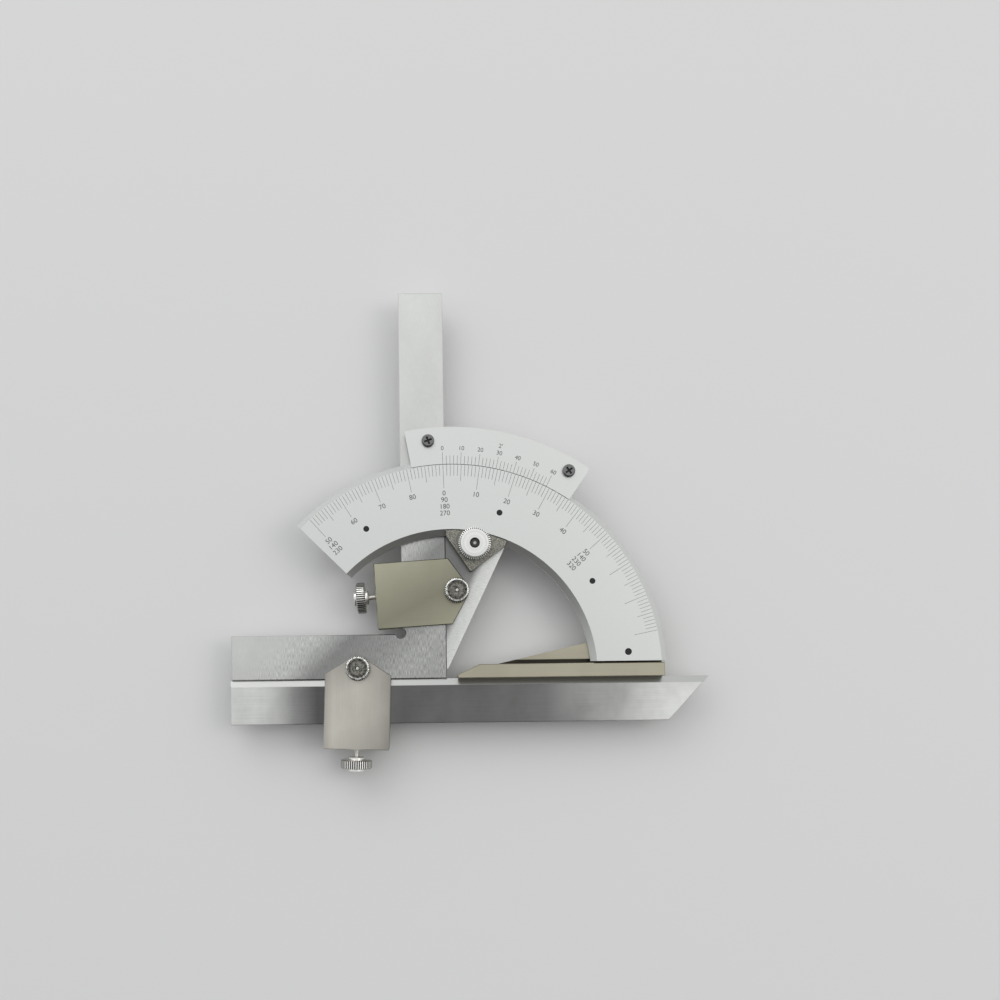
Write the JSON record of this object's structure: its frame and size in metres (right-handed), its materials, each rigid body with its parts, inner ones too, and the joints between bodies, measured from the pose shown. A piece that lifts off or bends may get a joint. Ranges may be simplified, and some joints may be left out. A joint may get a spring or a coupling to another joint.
{
  "type": "universal bevel protractor",
  "caption": "Universal bevel protractor with a graduated arc, vernier, pinion fine adjustment, square and sliding straight rule held by two clamps",
  "frame": {"origin": "Centre of the graduated arc, which is the vertex of the measured angle, on the back face of the rules", "axes": "+X runs along the straight rule away from the square's arm, +Y runs up the long leg of the square, +Z points from the back of the rules to the graduated face"},
  "size_m": [0.2113, 0.2109, 0.0234],
  "materials": {
    "satin_chrome": "satin",
    "brushed_steel": "brushed along its length",
    "ground_steel": "ground, slightly mottled",
    "satin_nickel": "satin, warm tint",
    "bright_nickel": "bright",
    "dark_steel": "dull",
    "dark_coarse": "coarse sanded",
    "black_fastener": "blackened",
    "bronze": "machined"
  },
  "bodies": {
    "scale_body": {"arc_plate": "satin_chrome", "toothed_ring": "dark_steel", "ring_rivets": "black_fastener", "base_rule": "satin_nickel", "base_screw": "black_fastener", "base_dowels": "dark_steel"},
    "sector": {"sector_plate": "brushed_steel", "vernier_plate": "satin_chrome", "vernier_screws": "black_fastener", "brake_pad": "dark_coarse", "pad_pins": "dark_steel", "pinion_bush": "bronze"},
    "pinion": {"pinion_shaft": "dark_steel", "back_knob": "bright_nickel", "knob_screw": "black_fastener"},
    "washer": {"brake_washer": "dark_steel"},
    "nut": {"brake_nut": "bright_nickel"},
    "upper_housing": {"upper_clamp": "satin_nickel"},
    "upper_pusher": {"upper_shoe": "dark_steel"},
    "upper_screw": {"upper_thumbscrew": "bright_nickel"},
    "upper_pin": {"upper_lock_pin": "bright_nickel"},
    "square_body": {"square": "brushed_steel"},
    "lower_housing": {"lower_clamp": "satin_nickel"},
    "lower_pusher": {"lower_shoe": "dark_steel"},
    "lower_screw": {"lower_thumbscrew": "bright_nickel"},
    "lower_pin": {"lower_lock_pin": "bright_nickel"},
    "rule_body": {"straight_rule": "ground_steel"}
  },
  "joints": [
    {"name": "sector_swing", "type": "hinge", "parent": "scale_body", "child": "sector", "pos_m": [0, 0, 0], "axis": [0, 0, -1], "range_deg": [0, 50]},
    {"name": "pinion_turn", "type": "hinge", "parent": "sector", "child": "pinion", "pos_m": [0.01057, 0.05703, 0], "axis": [0, 0, -1], "range_deg": [-776, 0]},
    {"name": "washer_lift", "type": "slide", "parent": "pinion", "child": "washer", "axis": [0, 0, 1], "range_m": [0, 0.0007]},
    {"name": "nut_turn", "type": "hinge", "parent": "washer", "child": "nut", "pos_m": [0.01057, 0.05703, 0], "axis": [0, 0, 1], "range_deg": [0, 360]},
    {"name": "upper_clamp_pivot", "type": "hinge", "parent": "sector", "child": "upper_housing", "pos_m": [0.0028, 0.0371, 0], "axis": [0, 0, 1], "range_deg": [-2, 2]},
    {"name": "upper_shoe_travel", "type": "slide", "parent": "upper_housing", "child": "upper_pusher", "axis": [-0.9981, -0.061, 0], "range_m": [0, 0.0009]},
    {"name": "upper_screw_turn", "type": "hinge", "parent": "upper_pusher", "child": "upper_screw", "pos_m": [0.0028, 0.0371, 0.002], "axis": [-0.9981, -0.061, 0], "range_deg": [0, 720]},
    {"name": "upper_pin_turn", "type": "hinge", "parent": "upper_housing", "child": "upper_pin", "pos_m": [0.0028, 0.0371, 0], "axis": [0, 0, 1], "range_deg": [0, 360]},
    {"name": "square_slide", "type": "slide", "parent": "sector", "child": "square_body", "axis": [0, -1, 0], "range_m": [0, 0.06]},
    {"name": "lower_clamp_pivot", "type": "hinge", "parent": "square_body", "child": "lower_housing", "pos_m": [-0.041, 0.0034, 0], "axis": [0, 0, 1], "range_deg": [-1.5, 1.5]},
    {"name": "lower_shoe_travel", "type": "slide", "parent": "lower_housing", "child": "lower_pusher", "axis": [-0.0349, -0.9994, 0], "range_m": [0, 0.0009]},
    {"name": "lower_screw_turn", "type": "hinge", "parent": "lower_pusher", "child": "lower_screw", "pos_m": [-0.041, 0.0034, 0.002], "axis": [-0.0349, -0.9994, 0], "range_deg": [0, 720]},
    {"name": "lower_pin_turn", "type": "hinge", "parent": "lower_housing", "child": "lower_pin", "pos_m": [-0.041, 0.0034, 0], "axis": [0, 0, 1], "range_deg": [0, 360]},
    {"name": "rule_slide", "type": "slide", "parent": "square_body", "child": "rule_body", "axis": [1, 0, 0], "range_m": [-0.08, 0.04]}
  ],
  "couplings": [
    {"joint": "pinion_turn", "follows": "sector_swing", "ratio": -15.5},
    {"joint": "washer_lift", "follows": "nut_turn", "m_per_rad": 0.0001114},
    {"joint": "upper_shoe_travel", "follows": "upper_screw_turn", "m_per_rad": 0.00007161},
    {"joint": "lower_shoe_travel", "follows": "lower_screw_turn", "m_per_rad": 0.00007161}
  ]
}
